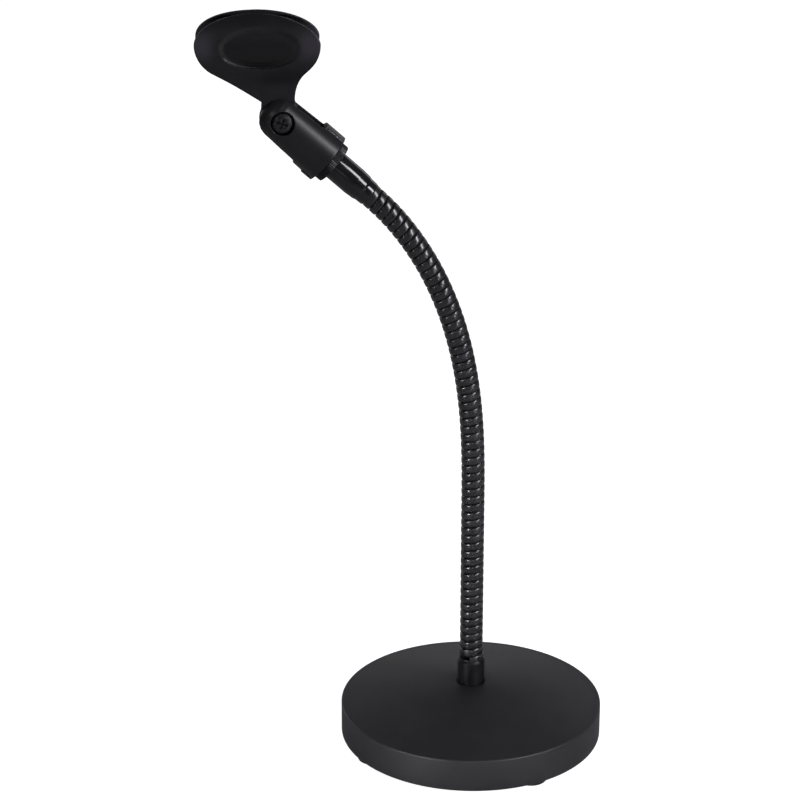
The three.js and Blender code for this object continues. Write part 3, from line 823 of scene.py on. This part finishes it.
def neck_body(k):
    """Name of the body that carries link k of the neck."""
    return "neck_foot" if k == 0 else f"neck_link_{k:02d}"


def build_wire(name, node, material, slot, ends, **helix):
    """One wire of the neck, in pieces that run from the middle of a link to the middle of the next."""
    first, last = ends
    for k in range(LINK_COUNT + 1):
        start = first if k == 0 else k - 0.5
        end = last if k == LINK_COUNT else k + 0.5
        mesh = helix_mesh(f"{name}_{k:02d}", start=start, end=end, **helix)
        piece = add_piece(f"{name}_{k:02d}", mesh, material, 60)
        if k == LINK_COUNT:
            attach(piece, neck_body(k))
        else:
            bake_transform(piece)
        if k > 0:
            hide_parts(f"{node}_{k:02d}")


def build_neck():
    """The two wires. The coil is wound half a turn on, so that it lies in the gaps of the outer wire."""
    outer = {"section": wire_section(), "flare": WIRE_FLARE, "phase": 0.0, "steps_per_turn": 36}
    build_wire("outer_wire", "wire_link", WIRE, "neck_gloss_black", WIRE_ENDS, **outer)
    inner = {"section": coil_section(), "flare": 0.0, "phase": 0.5, "steps_per_turn": 24}
    build_wire("inner_coil", "coil_link", COIL, "coil_steel", COIL_ENDS, **inner)


# ---------------------------------------------------------------- ferrules
BOLT_BORE_RADIUS = 4
BOLT_BORE_TOP_Z = 42
THREAD_RADIUS = 7.6
STEM_RADIUS = 8.1
STEM_SHOULDER = 37.5  # distances down the head from the pivot
STEM_TAPER_START = 51.5


def lower_ferrule_mesh():
    """Plain sleeve on the base, with a bore for the bolt below and a lip round the neck above."""
    low, high = node_box("lower_ferrule")
    lip = high.z - 0.8
    profile = [
        (0, BOLT_BORE_TOP_Z),
        (BOLT_BORE_RADIUS, BOLT_BORE_TOP_Z),
        (BOLT_BORE_RADIUS, low.z),
        (FERRULE_RADIUS, low.z),
        (FERRULE_RADIUS, lip - 1.2),
        (FERRULE_RADIUS - 0.9, lip),
        (FERRULE_RADIUS - 1.0, high.z),
        (5.6, high.z),
        (5.4, lip),
        (0, lip),
    ]
    return lathe("lower_ferrule", rounded(profile, 0.3, 4), 128)


def upper_ferrule_mesh():
    """Stem that tapers toward the neck. Heights run from the pivot, so they are negative below it."""
    foot = -PIVOT_TO_NECK
    socket = [(0, foot + 1.2), (5.2, foot + 1.2), (5.4, foot + 0.4)]
    taper = [
        (6.6, foot + 0.4),
        (7.0, foot + 0.9),
        (7.1, foot + 2.0),
        (7.2, foot + 5.0),
        (7.7, foot + 6.6),
        (STEM_RADIUS, -STEM_TAPER_START),
    ]
    thread = [
        (STEM_RADIUS, -STEM_SHOULDER),
        (THREAD_RADIUS, -STEM_SHOULDER),
        (THREAD_RADIUS, -27.6),
        (THREAD_RADIUS - 1, -26.6),
        (0, -26.6),
    ]
    return lathe("upper_ferrule", rounded(socket + taper + thread, 0.5, 4), 128, head_frame())


def build_ferrules():
    """The sleeve below the neck and the stem above it."""
    lower = add_piece("neck_socket", lower_ferrule_mesh(), SATIN)
    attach(lower, "neck_foot")
    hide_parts("lower_ferrule")
    upper = add_piece("neck_stem", upper_ferrule_mesh(), GLOSS)
    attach(upper, neck_body(LINK_COUNT))
    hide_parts("upper_ferrule")


# ---------------------------------------------------------------- fork
EAR_RADIUS = 12.6
WAIST_RADIUS = 13.2
YOKE_FOOT_RADIUS = 14.3
YOKE_LENGTH = 32.5
SLOT_WIDTH = 12.6
SLOT_DEPTH = 19
GRIP_RADIUS = 14.75
GRIP_HALF_ANGLE = 24
GRIP_LENGTHS = {0: 13.2, 180: 6.8}  # by the direction that the grip faces, in degrees
RECESS_RADIUS = 6.4
RECESS_FLOOR = 8.9
NUT_FLATS = 8
NUT_HEIGHT = 3.4
NUT_BORE = 2.7
PIVOT_BORE = 2.8
SCREW_RADIUS = 5.6
SCREW_HEAD_HEIGHT = 2.8
SCREW_SHANK_RADIUS = 2.4
SLEEVE_RADIUS = 9.6
SLEEVE_TOP = 25.3  # distances down the head from the pivot
COLLAR_TOP = 32.8
COLLAR_END = 37.2
COLLAR_RADIUS = 11.8
COLLAR_BORE = 7.9
KNURL_RIDGES = 64
KNURL_DEPTH = 0.25
BEYOND = 20  # far enough past either side of the fork for a cut


def across_pivot(low, high, radius, facets=72):
    """A rod across the head on the pivot's axis, from one Y to another."""
    return rod((PIVOT.x, low, PIVOT.z), (PIVOT.x, high, PIVOT.z), radius, facets)


def side_slab(outline, half_width):
    """A side view in X and Z, thickened along Y to both sides."""
    stand_up = Matrix.Rotation(math.pi / 2, 4, "X")
    return prism("slab", outline, -half_width, half_width, stand_up)


def arc(centre, radius, start, end, steps):
    """Points of an arc, angles in degrees."""
    angles = (math.radians(start + (end - start) * i / steps) for i in range(steps + 1))
    return [(centre[0] + radius * math.cos(a), centre[1] + radius * math.sin(a)) for a in angles]


def grip_mesh(facing, length):
    """A raised grip pad on one side of the fork."""
    start, end = facing - GRIP_HALF_ANGLE, facing + GRIP_HALF_ANGLE
    outline = arc((0, 0), GRIP_RADIUS, start, end, 20)
    outline += arc((0, 0), YOKE_FOOT_RADIUS - 4, end, start, 20)
    return prism("grip", outline, -YOKE_LENGTH, -YOKE_LENGTH + length, head_frame())


def fork_side_view():
    """Side view of the fork: straight sides with a half round top."""
    wide = EAR_RADIUS + 4
    below, shoulder = -YOKE_LENGTH - 5, -16
    outline = [(wide, below), (wide, shoulder)]
    outline += arc((0, 0), EAR_RADIUS, 0, 180, 48)
    outline += [(-wide, shoulder), (-wide, below)]
    mesh = side_slab(outline, BEYOND)
    mesh.transform(head_frame())
    return mesh


def yoke_mesh():
    """A turned body, cut to its side view, with a slot for the tongue and recesses for screw and nut."""
    foot = [(0, -YOKE_LENGTH), (YOKE_FOOT_RADIUS, -YOKE_LENGTH)]
    rounded_top = [
        (WAIST_RADIUS, 0),
        (WAIST_RADIUS - 0.15, 3.5),
        (WAIST_RADIUS - 0.8, 6.5),
        (WAIST_RADIUS - 2.1, 9),
        (WAIST_RADIUS - 3.9, 11),
        (WAIST_RADIUS - 6.4, EAR_RADIUS),
        (0, EAR_RADIUS + 1),
    ]
    place = head_frame()
    slot = box_mesh((-25, -SLOT_WIDTH / 2, -SLOT_DEPTH), (25, SLOT_WIDTH / 2, 40), place)
    radius, bottom, top = SLEEVE_RADIUS + 0.2, -36, 0.2 - SLEEVE_TOP
    socket = lathe("socket", [(0, bottom), (radius, bottom), (radius, top), (0, top)], 96, place)
    grips = [("UNION", grip_mesh(facing, length)) for facing, length in GRIP_LENGTHS.items()]
    cuts = [
        ("DIFFERENCE", slot),
        ("DIFFERENCE", socket),
        ("DIFFERENCE", across_pivot(-BEYOND, -RECESS_FLOOR, RECESS_RADIUS)),
        ("DIFFERENCE", across_pivot(RECESS_FLOOR - 0.5, BEYOND, hexagon_radius(NUT_FLATS) + 0.3, 6)),
        ("DIFFERENCE", across_pivot(-BEYOND, BEYOND, PIVOT_BORE, 40)),
    ]
    body = lathe("yoke", foot + rounded_top, 160, place)
    solid = carve(body, [("INTERSECT", fork_side_view())] + grips + cuts)
    return moulded(solid, 0.33, 4)


def knurl(radius, height, angle):
    """Fine ridges on the rim of the collar, fading out inward."""
    share = min(1, max(0, (radius - COLLAR_RADIUS + 0.5) / 0.5))
    return radius - KNURL_DEPTH * share * (0.5 - 0.5 * math.cos(KNURL_RIDGES * angle)) ** 2


def collar_mesh():
    """Threaded insert. Only its knurled collar shows, below the fork."""
    outline = [
        (COLLAR_BORE, -COLLAR_END),
        (COLLAR_RADIUS, -COLLAR_END),
        (COLLAR_RADIUS, -COLLAR_TOP),
        (SLEEVE_RADIUS, -COLLAR_TOP),
        (SLEEVE_RADIUS, -SLEEVE_TOP),
        (COLLAR_BORE, -SLEEVE_TOP),
    ]
    loop = rounded(outline + outline[:2], 0.6, 4)[1:-1]
    return lathe("collar", loop, KNURL_RIDGES * 6, head_frame(), knurl)


def screw_mesh():
    """Round-headed pivot screw with a cross recess."""
    back = -RECESS_FLOOR - 0.3
    front = back - SCREW_HEAD_HEIGHT
    head = [
        (0, 0),
        (SCREW_RADIUS, 0),
        (SCREW_RADIUS, 1.5),
        (SCREW_RADIUS - 0.7, 2.3),
        (SCREW_RADIUS - 2.2, SCREW_HEAD_HEIGHT),
        (0, SCREW_HEAD_HEIGHT + 0.1),
    ]
    facing_out = Matrix.Translation((PIVOT.x, back, PIVOT.z)) @ Matrix.Rotation(math.pi / 2, 4, "X")
    operations = [("UNION", across_pivot(back - 0.5, 13.5, SCREW_SHANK_RADIUS, 32))]
    for turn in (20, 110):
        place = Matrix.Translation((PIVOT.x, front, PIVOT.z)) @ Matrix.Rotation(math.radians(turn), 4, "Y")
        operations.append(("DIFFERENCE", box_mesh((-3.0, -1.5, -0.55), (3.0, 1.5, 0.55), place)))
    return carve(lathe("screw", rounded(head, 0.5, 4), 96, facing_out), operations)


def nut_mesh():
    """Hexagon nut with chamfered corners, in the recess on the far side."""
    start = RECESS_FLOOR - 0.2
    radius = hexagon_radius(NUT_FLATS)
    body = across_pivot(start, start + NUT_HEIGHT, radius, 6)
    facing_out = Matrix.Translation((PIVOT.x, start, PIVOT.z)) @ Matrix.Rotation(-math.pi / 2, 4, "X")
    cone = [(0, -1), (radius + 1, -1), (radius + 1, 2.6), (radius - 0.9, 3.8), (0, 3.8)]
    bore = across_pivot(0, 30, NUT_BORE, 32)
    return carve(body, [("INTERSECT", lathe("cone", cone, 72, facing_out)), ("DIFFERENCE", bore)])


def build_fork():
    """The fork with its insert, screw and nut."""
    parts = (
        ("clip_yoke", "fork_body", yoke_mesh(), YOKE_PLASTIC, "yoke_plastic_black", 180),
        ("thread_insert", "thread_collar", collar_mesh(), SHADED_COLLAR_OXIDE, "hardware_black_oxide", 50),
        ("pivot_screw", "tilt_screw", screw_mesh(), OXIDE, "hardware_black_oxide", 30),
        ("pivot_nut", "tilt_nut", nut_mesh(), OXIDE, "hardware_black_oxide", 30),
    )
    for node, name, mesh, material, slot, angle in parts:
        piece = add_piece(name, turned_head(mesh), material, angle)
        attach(piece, "fork")
        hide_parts(node)


# ---------------------------------------------------------------- microphone clip
CLIP_HALF_LENGTH = 33.6
CLIP_RADIUS = 17.3
CLIP_BORE = 14.3
CLIP_GAP = 14
JAW_HALF_HEIGHT = 15.6
JAW_OUTER_POWER = 2.05  # squareness of the jaws' oval at its far end: 2 is an ellipse, more is fuller
JAW_INNER_POWER = 1.78  # and at the end near the neck
TONGUE_WIDTH = 12
TONGUE_RADIUS = 11.5
PANEL_SLOPE = 2.7  # width of the sloping wall round the panel
PANEL_DEPTH = 0.9
PANEL_LAYERS = 6
PAST_CLIP = 60  # far enough past either end of the clip for a cut


def bezier(a, b, c, d, steps=16):
    """Points of a cubic curve, without its first point."""
    points = []
    for i in range(1, steps + 1):
        t = i / steps
        weights = ((1 - t) ** 3, 3 * t * (1 - t) ** 2, 3 * t * t * (1 - t), t ** 3)
        x = sum(weight * point[0] for weight, point in zip(weights, (a, b, c, d)))
        y = sum(weight * point[1] for weight, point in zip(weights, (a, b, c, d)))
        points.append((x, y))
    return points


def bend(a, b, c, steps=12):
    """Points of a quadratic curve, without its first point."""

    def toward_middle(end):
        return end[0] + (b[0] - end[0]) * 2 / 3, end[1] + (b[1] - end[1]) * 2 / 3

    return bezier(a, toward_middle(a), toward_middle(c), c, steps)


def jaw_top(steps=96):
    """Upper edge of the jaws' oval, from the end near the neck to the far end."""
    points = []
    for i in range(steps + 1):
        across = math.cos(math.pi * i / steps)
        up = max(0.0, math.sin(math.pi * i / steps))
        power = JAW_INNER_POWER if across > 0 else JAW_OUTER_POWER
        x = CLIP_X + CLIP_HALF_LENGTH * math.copysign(abs(across) ** (2 / power), across)
        points.append((x, CLIP_Z + JAW_HALF_HEIGHT * up ** (2 / power)))
    return points


def clip_outline():
    """Side view of the clip: an oval for the jaws running down into the tongue."""
    left, right = CLIP_X - CLIP_HALF_LENGTH, CLIP_X + CLIP_HALF_LENGTH
    far_end, near_end = (left, CLIP_Z), (right, CLIP_Z)
    px, pz = PIVOT.x, PIVOT.z
    points = jaw_top()
    points += bezier(far_end, (left, CLIP_Z - 5), (left + 2.4, CLIP_Z - 11), (left + 8.6, CLIP_Z - 15.7))
    points.append((px - 11, pz + 10.7))
    points += bend(points[-1], (px - TONGUE_RADIUS, pz + 8), (px - TONGUE_RADIUS, pz))
    points += arc((px, pz), TONGUE_RADIUS, 180, 360, 48)[1:]
    points += bend(points[-1], (px + 6.6, pz + 8), (px + 6.9, pz + 12.4))
    points += bend(points[-1], (px + 7.5, pz + 21.4), (px + 12.8, pz + 27))
    points += bezier(points[-1], (px + 17.5, pz + 31.4), (right, pz + 36), near_end)
    return points[:-1]


def tongue_mesh():
    """End view of the tongue: as wide as the tube at the top, thin where it enters the fork."""
    half_width, bottom = TONGUE_WIDTH / 2, PIVOT.z - 20
    wide, top = CLIP_RADIUS - 1.2, CLIP_Z - 6
    thin_from = PIVOT.z + 17
    flare = bezier((-wide, top), (-wide, top - 9), (-half_width, thin_from + 7), (-half_width, thin_from))
    outline = [(-wide, top)] + flare + [(-half_width, bottom), (half_width, bottom)]
    outline += [(-y, z) for y, z in reversed(flare)] + [(wide, top)]
    stand_up = Matrix.Rotation(math.pi / 2, 4, "X")
    along_x = Matrix.Rotation(math.pi / 2, 4, "Z")
    return prism("tongue", outline, -45, 45, Matrix.Translation((CLIP_X, 0, 0)) @ along_x @ stand_up)


def along_clip(radius, half_length, facets=160):
    """A rod on the axis of the clip's tube."""
    return rod((CLIP_X - half_length, 0, CLIP_Z), (CLIP_X + half_length, 0, CLIP_Z), radius, facets)


def panel_wall(depth_share, steps=72):
    """Outline of the oval finger panel at a share of its depth: it narrows along its sloping wall."""
    half_length = PANEL_HALF_LENGTH - PANEL_SLOPE * depth_share
    half_height = PANEL_HALF_HEIGHT - PANEL_SLOPE * depth_share
    angles = [2 * math.pi * i / steps for i in range(steps)]
    return [(PANEL_X + half_length * math.cos(a), PANEL_Z + half_height * math.sin(a)) for a in angles]


def panel_cutters():
    """What the finger panels remove: nested ovals, each sunk a little deeper into the round of the jaws."""
    cutters = []
    for layer in range(1, PANEL_LAYERS + 1):
        core = along_clip(CLIP_RADIUS - PANEL_DEPTH * layer / PANEL_LAYERS, PAST_CLIP)
        oval = side_slab(panel_wall((layer - 0.5) / PANEL_LAYERS), 30)
        cutters.append(("DIFFERENCE", carve(oval, [("DIFFERENCE", core)])))
    return cutters


def clip_mesh():
    """A split tube with a tongue below, cut to its side view, with a sunk panel on each jaw."""
    half_gap = CLIP_GAP / 2
    gap = box_mesh((CLIP_X - 45, -half_gap, CLIP_Z), (CLIP_X + 45, half_gap, CLIP_Z + 40))
    operations = [
        ("UNION", tongue_mesh()),
        ("INTERSECT", side_slab(clip_outline(), 25)),
        ("DIFFERENCE", along_clip(CLIP_BORE, PAST_CLIP)),
        ("DIFFERENCE", gap),
        ("DIFFERENCE", across_pivot(-BEYOND, BEYOND, PIVOT_BORE, 40)),
    ]
    solid = carve(along_clip(CLIP_RADIUS, CLIP_HALF_LENGTH), operations + panel_cutters())
    return moulded(solid, 0.4, 4)


def build_clip():
    """The clip, one moulding."""
    clip = add_piece("clip_body", turned_head(clip_mesh()), CLIP_PLASTIC, 180)
    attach(clip, "clip")
    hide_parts("mic_clip")


# ---------------------------------------------------------------- stage
# Places and sizes of the stage are in metres, the lens and its sensor in millimetres.
CAMERA_TARGET = Vector((-0.0417, 0, 0.20745))
CAMERA_ELEVATION = math.radians(20.7)
CAMERA_DISTANCE = 1.407
CAMERA_LENS = 112.4
FLOOR_HALF_SIZE = 8
HEAD_MIDDLE = Vector((-0.05, 0, 0.25))
BASE_MIDDLE = Vector((0, 0, 0.02))
LIGHT_COLOUR = (0.98, 0.95, 1)
WHITE = (1, 1, 1)
GREY_SEEN, GREY_REFLECTED = (0.5, 0.5, 0.5), (0.4, 0.4, 0.4)
FLOOR_GLOW_SEEN, FLOOR_GLOW_REFLECTED = 0.97, 0.03
WORLD_SEEN, WORLD_REFLECTED = 1.0, 0.1


def add_floor():
    """A plain pale floor. It glows white for the camera, and hardly lights the stand."""
    size, z = FLOOR_HALF_SIZE, CAD_BOX[0].z
    corners = [(-size, -size, z), (size, -size, z), (size, size, z), (-size, size, z)]
    mesh = mesh_from("floor", corners, [(0, 1, 2, 3)])
    floor = bpy.data.objects.new("floor", mesh)
    bpy.context.scene.collection.objects.link(floor)
    m = Shader("pale_floor")
    seen = m.node("ShaderNodeLightPath").outputs["Is Camera Ray"]
    glow = m.ramp(seen, 0, 1, FLOOR_GLOW_REFLECTED, FLOOR_GLOW_SEEN)
    m.set(Base_Color=m.mix(seen, GREY_REFLECTED, GREY_SEEN), Roughness=0.9)
    m.set(Emission_Color=WHITE, Emission_Strength=glow)
    mesh.materials.append(m.material)


def add_light(name, direction, distance, size, power, aim=HEAD_MIDDLE, spread=180):
    """A soft rectangular light that faces the stand. A small spread keeps its light near where it aims."""
    data = bpy.data.lights.new(name, "AREA")
    data.shape = "RECTANGLE"
    data.size, data.size_y = size
    data.energy = power
    data.spread = math.radians(spread)
    data.color = LIGHT_COLOUR
    light = bpy.data.objects.new(name, data)
    bpy.context.scene.collection.objects.link(light)
    towards = Vector(direction).normalized()
    light.location = aim + towards * distance
    light.rotation_mode = "QUATERNION"
    light.rotation_quaternion = towards.to_track_quat("Z", "Y")


def add_lights():
    """A strong key light at the front right, weak light from the left and low in front, and rims behind."""
    add_light("key", (0.73, -0.53, 0.42), distance=1.6, size=(0.4, 1.0), power=19)
    add_light("fill", (-0.55, -0.7, 0.5), distance=1.7, size=(0.4, 0.5), power=1.5)
    low_lights = {"low_left": (-1.0, 0.75), "low_middle": (0.0, 0.05), "low_right": (0.9, 0.25)}
    for name, (side, power) in low_lights.items():
        direction = (side, -1.0, 0.05)
        add_light(name, direction, 1.6, (0.8, 0.3), power, aim=BASE_MIDDLE, spread=20)
    add_light("back", (0.0, 1.0, 0.2), distance=1.8, size=(0.8, 0.3), power=0.8, aim=BASE_MIDDLE)
    add_light("rear_left", (-0.75, 0.8, 0.3), distance=1.8, size=(0.5, 0.9), power=4)
    add_light("rear_right", (0.6, 0.9, 0.3), distance=1.8, size=(0.5, 0.9), power=1.5)


def add_world():
    """Plain white surroundings for the camera, much dimmer as light on the stand."""
    world = bpy.data.worlds.new("studio")
    bpy.context.scene.world = world
    world.use_nodes = True
    nodes, links = world.node_tree.nodes, world.node_tree.links
    background = nodes["Background"]
    background.inputs["Color"].default_value = (*WHITE, 1)
    seen = nodes.new("ShaderNodeLightPath").outputs["Is Camera Ray"]
    strength = nodes.new("ShaderNodeMapRange")
    strength.inputs["To Min"].default_value = WORLD_REFLECTED
    strength.inputs["To Max"].default_value = WORLD_SEEN
    links.new(seen, strength.inputs["Value"])
    links.new(strength.outputs["Result"], background.inputs["Strength"])


def add_camera():
    """A long lens in front of the stand, looking down on it."""
    data = bpy.data.cameras.new("camera")
    data.lens = CAMERA_LENS
    data.sensor_width = 36
    data.clip_start, data.clip_end = 0.05, 50
    camera = bpy.data.objects.new("camera", data)
    bpy.context.scene.collection.objects.link(camera)
    back = Vector((0, -math.cos(CAMERA_ELEVATION), math.sin(CAMERA_ELEVATION)))
    camera.location = CAMERA_TARGET + back * CAMERA_DISTANCE
    camera.rotation_mode = "QUATERNION"
    camera.rotation_quaternion = back.to_track_quat("Z", "Y")
    bpy.context.scene.camera = camera


def build_stage():
    """Floor, lights, surroundings and camera."""
    add_floor()
    add_lights()
    add_world()
    add_camera()
    bpy.context.scene.view_settings.view_transform = "Standard"


build_base()
build_bolt()
build_neck()
build_ferrules()
build_fork()
build_clip()
build_stage()
